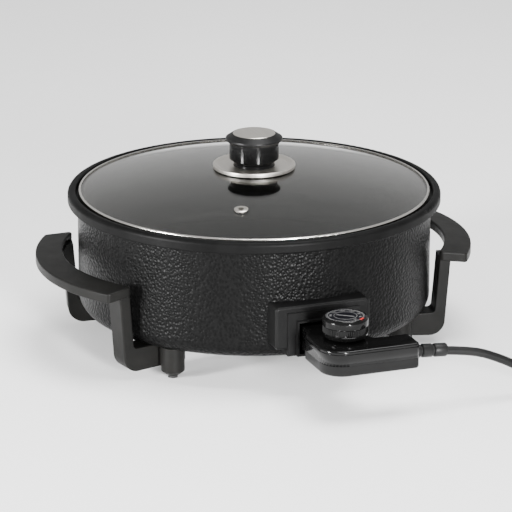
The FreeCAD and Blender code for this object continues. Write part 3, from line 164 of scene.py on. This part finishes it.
brushLines = {"along": 30, "across": 900, "detail": 6, "darkest": 0.9, "smoother": 0.06, "rougher": 0.08,
              "bumpStrength": 0.1, "bumpDepth": 0.0001}


def brushedSteel(name, colour, roughness, rings):
    g = brushLines
    material, tree, shader, place = startMaterial(name)
    shader.inputs["Metallic"].default_value = 1
    along = g["along"]
    stretch = tree.nodes.new("ShaderNodeMapping")
    stretch.inputs["Scale"].default_value = (along, along, g["across"]) if rings else (g["across"], along, along)
    tree.links.new(place, stretch.inputs["Vector"])
    lines = addNoise(tree, stretch.outputs["Vector"], 1.0, g["detail"])
    low = tuple(c * g["darkest"] for c in colour)
    tree.links.new(addRamp(tree, lines, low, colour), shader.inputs["Base Color"])
    tree.links.new(addRange(tree, lines, roughness - g["smoother"], roughness + g["rougher"]),
                   shader.inputs["Roughness"])
    addBump(tree, shader, lines, g["bumpStrength"], g["bumpDepth"])
    return material


glassTint = {"ior": 1.5, "tintScale": 6, "dark": (0.8, 0.8, 0.76), "light": (0.84, 0.83, 0.8), "polishScale": 14,
             "roughness": (0.0, 0.03)}


def clearGlass(g):
    material, tree, shader, place = startMaterial("lidGlass")
    shader.inputs["Transmission Weight"].default_value = 1
    shader.inputs["IOR"].default_value = g["ior"]
    tree.links.new(addRamp(tree, addNoise(tree, place, g["tintScale"]), g["dark"], g["light"]),
                   shader.inputs["Base Color"])
    tree.links.new(addRange(tree, addNoise(tree, place, g["polishScale"]), *g["roughness"]),
                   shader.inputs["Roughness"])
    return material


# the numbers of a plastic: darkest and lightest colour, roughness, grain scale, grain depth, specular level
hammered = hammeredPaintWithDimpleShade(hammerMarksAndDimpleShade)
rimBlack = mouldedPlastic("rimSatinBlack", grey(0.002), grey(0.004), 0.45, 700, 0.0001, 0.05)
gripGrey = mouldedPlastic("gripPlastic", (0.005, 0.005, 0.0047), (0.008, 0.0078, 0.0073), 0.42, 1100, 0.00008, 0.08)
housingBlack = mouldedPlastic("housingPlastic", grey(0.003), grey(0.005), 0.45, 1300, 0.0001, 0.07)
controlBlack = mouldedPlastic("controlPlastic", grey(0.0015), grey(0.003), 0.14, 900, 0.00002, 0.2)
knobBlack = mouldedPlastic("knobPlastic", grey(0.0015), grey(0.003), 0.12, 900, 0.00002, 0.15)
ringBlack = mouldedPlastic("knobRingPlastic", grey(0.004), grey(0.007), 0.4, 900, 0.00005, 0.12)
dialBlack = mouldedPlastic("dialPlastic", grey(0.0015), grey(0.003), 0.12, 700, 0.00002, 0.15)
faceBlack = mouldedPlastic("dialFacePlastic", (0.003, 0.003, 0.0045), (0.0045, 0.0045, 0.007), 0.4, 700, 0.00002, 0.1)
markWhite = mouldedPlastic("dialMarkPaint", grey(0.1), (0.14, 0.14, 0.135), 0.5, 900, 0.00002, 0.15)
markRed = mouldedPlastic("dialRedPaint", (0.4, 0.01, 0.008), (0.5, 0.015, 0.012), 0.4, 900, 0.00002, 0.3)
cordRubber = mouldedPlastic("cordRubber", grey(0.005), grey(0.008), 0.4, 1500, 0.00006, 0.15)
footRubber = mouldedPlastic("footRubber", grey(0.015), grey(0.022), 0.7, 1500, 0.00008, 0.2)
ceramic = mouldedPlastic("ceramic", (0.7, 0.68, 0.62), (0.78, 0.76, 0.7), 0.6, 900, 0.00006)
sealRubber = mouldedPlastic("sealRubber", (0.6, 0.58, 0.55), (0.66, 0.64, 0.6), 0.5, 900, 0.00004)
satinSteel = brushedSteel("satinSteel", (0.66, 0.63, 0.58), 0.3, False)
bandSteel = brushedSteel("bandSteel", (0.72, 0.7, 0.66), 0.22, True)
plainSteel = brushedSteel("plainSteel", grey(0.5), 0.35, False)
castAluminium = brushedSteel("castAluminium", (0.6, 0.6, 0.61), 0.5, False)
contactBrass = brushedSteel("contactBrass", (0.72, 0.52, 0.22), 0.3, False)
glass = clearGlass(glassTint)

nodeFinishes = {
    hammered: "pan_jacket",
    rimBlack: "pan_bowl",
    gripGrey: "grip_left grip_right leg_front_right leg_rear_right leg_rear_left leg_front_left",
    housingBlack: "socket_housing socket_insulator switch_frame cord_clamp",
    controlBlack: "control_case_top control_case_bottom plug_body",
    knobBlack: "knob_body",
    ringBlack: "knob_ring",
    dialBlack: "dial_knob dial_face",
    cordRubber: "strain_relief inner_leads mains_cord cord_coil cord_tail",
    footRubber: "feet",
    sealRubber: "knob_seal",
    ceramic: "terminal_beads contact_block",
    satinSteel: "knob_plate knob_cap vent_eyelet",
    bandSteel: "lid_band",
    castAluminium: "heat_spreader probe_well",
    contactBrass: "terminal_pins contact_sleeves earth_spring contact_leaf plug_pins",
    glass: "lid_glass",
    plainSteel: "base_cover base_cover_screws heating_element element_clamps clamp_screws socket_screws grip_screws "
                "leg_screws leg_nuts knob_washer knob_screw case_screws probe_rod probe_collar bimetal_blade "
                "dial_spindle",
}
for finish, names in nodeFinishes.items():
    for name in names.split():
        nodes[name].data.materials.clear()
        nodes[name].data.materials.append(finish)
print("finishes made")


# millimetres from the pan's own axis, but for the radius
cordLead = {"radius": 4.1 * mm, "exit": (61.5, -255, 57.3), "tilt": 4.0, "reliefStart": -14, "reliefBend": 51.5,
            "fall": ((150, -256, 39.5), (181, -256.6, 21)), "landing": 217, "coilRun": 8.2,
            "coilCentre": (255.2, -311.85), "coilOuter": 55.85, "coilStep": 4.85, "layerRise": 8.7, "floor": 4.2,
            "halfTurns": 8, "climbingTurn": 4, "pointsPerTurn": 24, "tailEnds": (39.2, 69.2, 97.2), "tailShift": 6,
            "plugHeight": 18.7}


def cordRoute(c):
    ahead = (math.cos(math.radians(c["tilt"])), -math.sin(math.radians(c["tilt"])))
    x, y, z = c["exit"]
    startY = c["coilCentre"][1] + c["coilOuter"]
    coilX = c["coilCentre"][0]
    points = [(x + d * ahead[0], y, z + d * ahead[1]) for d in (c["reliefStart"], c["reliefBend"])]
    points += list(c["fall"])
    points += [(c["landing"], startY, c["floor"]), (coilX - c["coilRun"], startY, c["floor"])]
    high = c["floor"] + c["layerRise"]
    across = c["coilOuter"]
    radius = c["coilOuter"]
    steps = c["pointsPerTurn"] // 2
    climb = c["climbingTurn"]
    for half in range(c["halfTurns"]):     # half turns inwards, one that climbs, then outwards on top
        sign = 1 if half % 2 == 0 else -1
        if half == climb:
            radius = across
        elif half > climb:
            radius = abs(across) + (c["coilStep"] if sign < 0 else 0)
        centre = across - sign * radius
        for step in range(steps):
            turn = math.pi * (step + 0.5) / steps
            share = (1 - math.cos(turn)) / 2 if half == climb else (0 if half < climb else 1)
            points.append((coilX + sign * radius * math.sin(turn),
                           c["coilCentre"][1] + centre + sign * radius * math.cos(turn),
                           c["floor"] + share * c["layerRise"]))
        across = centre - sign * radius
        radius -= c["coilStep"]
    tailY = c["coilCentre"][1] + across
    near, middle, far = c["tailEnds"]
    aside = tailY - c["tailShift"]
    points += [(coilX + c["coilRun"], tailY, high), (coilX + near, tailY, high),
               (coilX + middle, aside, c["plugHeight"]), (coilX + far, aside, c["plugHeight"])]
    return [Vector((px * mm, py * mm + panY, pz * mm)) for px, py, pz in points]


def makeCord(c):
    curve = bpy.data.curves.new("mainsCord", "CURVE")
    curve.dimensions = "3D"
    spline = curve.splines.new("NURBS")
    route = cordRoute(c)
    spline.points.add(len(route) - 1)
    for point, place in zip(spline.points, route):
        point.co = (*place, 1)
    spline.order_u = 3
    spline.use_endpoint_u = True
    spline.resolution_u = 6
    curve.resolution_u = 6
    curve.bevel_depth = c["radius"]
    curve.bevel_resolution = 5
    curve.use_fill_caps = True
    curve.materials.append(cordRubber)
    cord = bpy.data.objects.new("mainsCord", curve)
    bpy.context.scene.collection.objects.link(cord)
    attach(cord, "control")
    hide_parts("mains_cord", "cord_coil", "cord_tail")
    length = sum((b - a).length for a, b in zip(route, route[1:]))
    print("cord made, runs add up to %.3f m" % length)


makeCord(cordLead)


def meshFrom(b, name, crease=32):
    bmesh.ops.remove_doubles(b, verts=b.verts, dist=0.001 * mm)
    bmesh.ops.recalc_face_normals(b, faces=b.faces)
    for face in b.faces:
        face.smooth = True
    mesh = bpy.data.meshes.new(name)
    b.to_mesh(mesh)
    b.free()
    mesh.set_sharp_from_angle(angle=math.radians(crease))
    return mesh


def addPiece(mesh, finish, body, slotName, *replaced):
    mesh.materials.append(finish)
    piece = bpy.data.objects.new(mesh.name, mesh)
    bpy.context.scene.collection.objects.link(piece)
    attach(piece, body)
    if replaced:
        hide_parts(*replaced)
    return piece


def turnProfile(b, profile, steps, closed=False):
    verts = [b.verts.new((radius * mm, 0, height * mm)) for radius, height in profile]
    following = verts[1:] + verts[:1] if closed else verts[1:]
    edges = [b.edges.new(pair) for pair in zip(verts, following)]
    bmesh.ops.spin(b, geom=verts + edges, cent=(0, 0, 0), axis=(0, 0, 1), dvec=(0, 0, 0), angle=2 * math.pi,
                   steps=steps, use_merge=True, use_duplicate=False)
    bmesh.ops.remove_doubles(b, verts=b.verts, dist=0.001 * mm)


dialLow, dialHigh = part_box("dial_knob")
dialMiddle = Vector(((dialLow.x + dialHigh.x) / 2, (dialLow.y + dialHigh.y) / 2, 0))

dialShape = {
    "profile": [(0, 72), (19, 72), (19.8, 72.5), (20.7, 74.2), (20.9, 75.8), (20.3, 76.3), (20.9, 76.8), (20.9, 82.4),
                (20.3, 82.9), (21.15, 83.4), (21.2, 84), (21.2, 88.6), (20.9, 89.5), (19.3, 91.2), (18.9, 91.45),
                (18.7, 91.35), (18.6, 90.7), (0, 90.7)],
    "steps": 144, "knurlLow": 76.7, "knurlHigh": 82.5, "knurlFrom": 20.6, "knurlDepth": 0.55}


def makeDial(d):
    b = bmesh.new()
    turnProfile(b, d["profile"], d["steps"])
    pitch = 2 * math.pi / d["steps"]
    for vert in b.verts:
        radius = math.hypot(vert.co.x, vert.co.y)
        inBand = d["knurlLow"] * mm < vert.co.z < d["knurlHigh"] * mm and radius > d["knurlFrom"] * mm
        if inBand and round(math.atan2(vert.co.y, vert.co.x) / pitch) % 2:
            share = 1 - d["knurlDepth"] * mm / radius     # every second line of the band is pulled in
            vert.co.x *= share
            vert.co.y *= share
    bmesh.ops.translate(b, verts=b.verts, vec=dialMiddle)
    addPiece(meshFrom(b, "dialKnob", 25), dialBlack, "dial", "gloss_plastic", "dial_knob")


faceShape = {"radius": 18.55, "low": 90.5, "high": 91.15, "steps": 96,
             "rings": ((16.2, 16.75), (10.3, 10.8)), "markHigh": 91.24, "ticks": 36, "tickFrom": 16.9, "tickTo": 18.1,
             "tickWidth": 0.45, "barLength": 17, "barWidth": 1.5, "barTurn": -38,
             "numbers": ("60", "90", "120", "150", "180", "210", "240"), "numberRadius": 13.5, "numberSize": 3.6,
             "numberStart": 200, "numberStep": 38, "numberThick": 0.04, "redSize": (2.2, 4.6, 0.6), "redTurn": -52,
             "redRadius": 17.3, "redDrop": 0.2, "rimChamfer": 0.1, "markSunk": 0.05}


def addBlock(b, size, turn, place):
    made = bmesh.ops.create_cube(b, size=1)["verts"]
    bmesh.ops.scale(b, vec=Vector(size) * mm, verts=made)
    bmesh.ops.translate(b, verts=made, vec=Vector(place) * mm)
    bmesh.ops.rotate(b, verts=made, cent=(0, 0, 0), matrix=Matrix.Rotation(turn, 3, "Z"))


def addNumber(b, words, size, thick, turn, radius, height):
    text = bpy.data.curves.new("number", "FONT")
    text.body = words
    text.size = size * mm
    text.extrude = thick * mm
    text.align_x = "CENTER"
    text.align_y = "CENTER"
    holder = bpy.data.objects.new("number", text)
    mesh = bpy.data.meshes.new_from_object(holder)
    before = set(b.verts)
    b.from_mesh(mesh)
    made = [vert for vert in b.verts if vert not in before]
    bmesh.ops.translate(b, verts=made, vec=(0, radius * mm, height * mm))
    bmesh.ops.rotate(b, verts=made, cent=(0, 0, 0), matrix=Matrix.Rotation(turn, 3, "Z"))
    bpy.data.objects.remove(holder)
    bpy.data.meshes.remove(mesh)


def makeDialFace(f):
    b = bmesh.new()
    turnProfile(b, [(0, f["low"]), (f["radius"], f["low"]), (f["radius"], f["high"] - f["rimChamfer"]),
                    (f["radius"] - f["rimChamfer"], f["high"]), (0, f["high"])], f["steps"])
    bmesh.ops.translate(b, verts=b.verts, vec=dialMiddle)
    addPiece(meshFrom(b, "dialFace"), faceBlack, "dial", "gloss_plastic", "dial_face")
    b = bmesh.new()
    low = f["high"] - f["markSunk"]
    high = f["markHigh"]
    for inner, outer in f["rings"]:
        turnProfile(b, [(inner, low), (outer, low), (outer, high), (inner, high)], f["steps"], True)
    for index in range(f["ticks"]):
        addBlock(b, (f["tickTo"] - f["tickFrom"], f["tickWidth"], high - low), 2 * math.pi * index / f["ticks"],
                 ((f["tickFrom"] + f["tickTo"]) / 2, 0, (low + high) / 2))
    addBlock(b, (f["barLength"], f["barWidth"], high - low), math.radians(f["barTurn"]), (0, 0, (low + high) / 2))
    for index, words in enumerate(f["numbers"]):
        turn = math.radians(f["numberStart"] + f["numberStep"] * index)
        addNumber(b, words, f["numberSize"], f["numberThick"], turn, f["numberRadius"], (low + high) / 2)
    bmesh.ops.translate(b, verts=b.verts, vec=dialMiddle)
    addPiece(meshFrom(b, "dialMarks"), markWhite, "dial", "gloss_plastic")
    b = bmesh.new()
    addBlock(b, f["redSize"], math.radians(f["redTurn"]), (f["redRadius"], 0, high - f["redDrop"]))
    bmesh.ops.translate(b, verts=b.verts, vec=dialMiddle)
    addPiece(meshFrom(b, "dialRedMark"), markRed, "dial", "gloss_plastic")


reliefShape = {
    "exit": cordLead["exit"], "tilt": cordLead["tilt"], "steps": 48,
    "profile": [(4.15, -4.9), (6.4, -4.9), (6.4, -2.9), (5.2, -2.9), (5.2, 0.5), (5.9, 0.8), (6.3, 1.5), (6.3, 4.8),
                (5.9, 5.5), (4.8, 5.9), (4.8, 7), (5.9, 7.3), (6.4, 8), (6.4, 16.6), (5.9, 17.4), (4.8, 17.8),
                (4.8, 19), (5.9, 19.4), (6.4, 20.2), (6.4, 30.6), (5.9, 31.6), (5.2, 32), (4.15, 32)]}


def makeRelief(r):
    b = bmesh.new()
    turnProfile(b, r["profile"], r["steps"], True)
    bmesh.ops.rotate(b, verts=b.verts, cent=(0, 0, 0), matrix=Matrix.Rotation(math.radians(90 + r["tilt"]), 3, "Y"))
    x, y, z = r["exit"]
    bmesh.ops.translate(b, verts=b.verts, vec=(x * mm, y * mm + panY, z * mm))
    addPiece(meshFrom(b, "strainRelief"), cordRubber, "control", "rubber", "strain_relief")


caseShape = {
    "corners": [(-22.5, -170, 3), (-22.5, -205, 0), (-28.8, -213, 0), (-28.8, -270, 21.4), (61.5, -270, 4),
                (61.5, -241, 4), (25.5, -241, 6), (25.5, -213, 0), (22.5, -205, 0), (22.5, -170, 3)],
    "low": 55.6, "high": 70, "grooveLow": 66.3, "grooveHigh": 67, "grooveDepth": 0.8, "grooveLip": 0.12, "wall": 2.2,
    "edge": 1.7, "cornerSegments": 10, "edgeSegments": 5, "openBehind": -170.9}


def makeCaseTop(c):
    b = bmesh.new()
    corners = c["corners"]
    verts = [b.verts.new((x * mm, y * mm, c["low"] * mm)) for x, y, radius in corners]
    face = b.faces.new(verts)
    raised = bmesh.ops.extrude_face_region(b, geom=[face])["geom"]
    raisedVerts = [item for item in raised if isinstance(item, bmesh.types.BMVert)]
    bmesh.ops.translate(b, verts=raisedVerts, vec=(0, 0, (c["high"] - c["low"]) * mm))
    for x, y, radius in corners:
        if radius:
            upright = [edge for edge in b.edges if all(
                abs(vert.co.x - x * mm) < 1e-6 and abs(vert.co.y - y * mm) < 1e-6 for vert in edge.verts)]
            bmesh.ops.bevel(b, geom=upright, offset=radius * mm, segments=c["cornerSegments"], profile=0.5,
                            affect="EDGES", material=-1)
    crown = [edge for edge in b.edges if all(vert.co.z > (c["high"] - 0.01) * mm for vert in edge.verts)]
    bmesh.ops.bevel(b, geom=crown, offset=c["edge"] * mm, segments=c["edgeSegments"], profile=0.5, affect="EDGES",
                    material=-1)
    for height in (c["grooveLow"], c["grooveHigh"]):
        bmesh.ops.bisect_plane(b, geom=b.verts[:] + b.edges[:] + b.faces[:], plane_co=(0, 0, height * mm),
                               plane_no=(0, 0, 1))
    bmesh.ops.recalc_face_normals(b, faces=b.faces)
    band = [face for face in b.faces
            if c["grooveLow"] * mm < face.calc_center_median().z < c["grooveHigh"] * mm]
    bmesh.ops.inset_region(b, faces=band, thickness=c["grooveLip"] * mm, depth=-c["grooveDepth"] * mm,
                           use_even_offset=True)
    # open at the nose, where the contact block shows, and underneath
    opened = [face for face in b.faces
              if face.calc_center_median().y > c["openBehind"] * mm and abs(face.normal.y) > 0.9]
    opened += [face for face in b.faces if face.calc_center_median().z < (c["low"] + 0.01) * mm]
    bmesh.ops.delete(b, geom=list(set(opened)), context="FACES")
    bmesh.ops.translate(b, verts=b.verts, vec=(0, panY, 0))
    piece = addPiece(meshFrom(b, "caseTop"), controlBlack, "control", "black_plastic", "control_case_top")
    wall = piece.modifiers.new("wall", "SOLIDIFY")
    wall.thickness = c["wall"] * mm
    wall.offset = -1


makeDial(dialShape)
makeDialFace(faceShape)
makeRelief(reliefShape)
makeCaseTop(caseShape)
print("dial, relief and case made")


studio = {"floorColour": (0.92, 0.92, 0.92), "floorSize": 14, "floorDrop": 0.0002, "lighter": 1.02, "mottleScale": 3,
          "sky": 0.7, "zenith": 0.5, "skyUpTo": 0.25, "zenithFrom": 0.75, "aimHeight": 0.1}
# name, azimuth, elevation, distance, width and height, power
softboxes = (("leftSoftbox", -77, 9, 2.2, (0.4, 0.7), 150),
             ("frontSoftbox", 0, 9, 2.4, (0.3, 0.7), 170),
             ("topSoftbox", 60, 78, 2.6, (1.6, 1.6), 110))


def makeStudio(v):
    bpy.ops.mesh.primitive_plane_add(size=v["floorSize"], location=(0, 0, -v["floorDrop"]))
    floor = bpy.context.object
    floor.name = "floor"
    material, tree, shader, place = startMaterial("paleFloor")
    shader.inputs["Roughness"].default_value = 0.9
    shader.inputs["Specular IOR Level"].default_value = 0.1
    light = tuple(c * v["lighter"] for c in v["floorColour"])
    mottle = addNoise(tree, place, v["mottleScale"])
    tree.links.new(addRamp(tree, mottle, v["floorColour"], light), shader.inputs["Base Color"])
    floor.data.materials.append(material)
    world = bpy.data.worlds.new("studioWorld")
    bpy.context.scene.world = world
    world.use_nodes = True
    tree = world.node_tree
    place = tree.nodes.new("ShaderNodeTexCoord").outputs["Generated"]
    split = tree.nodes.new("ShaderNodeSeparateXYZ")
    tree.links.new(place, split.inputs["Vector"])
    colour = addRamp(tree, split.outputs["Z"], grey(v["sky"]), grey(v["zenith"]), v["skyUpTo"], v["zenithFrom"])
    tree.links.new(colour, tree.nodes["Background"].inputs["Color"])


def addSoftbox(name, azimuth, elevation, distance, size, energy):
    data = bpy.data.lights.new(name, "AREA")
    data.shape = "RECTANGLE"
    data.size, data.size_y = size
    data.energy = energy
    lamp = bpy.data.objects.new(name, data)
    bpy.context.scene.collection.objects.link(lamp)
    turn = math.radians(azimuth)
    rise = math.radians(elevation)
    toward = Vector((math.sin(turn) * math.cos(rise), -math.cos(turn) * math.cos(rise), math.sin(rise)))
    lamp.location = toward * distance + Vector((0, panY, studio["aimHeight"]))
    lamp.rotation_euler = toward.to_track_quat("Z", "Y").to_euler()


makeStudio(studio)
for softbox in softboxes:
    addSoftbox(*softbox)
print("studio made")
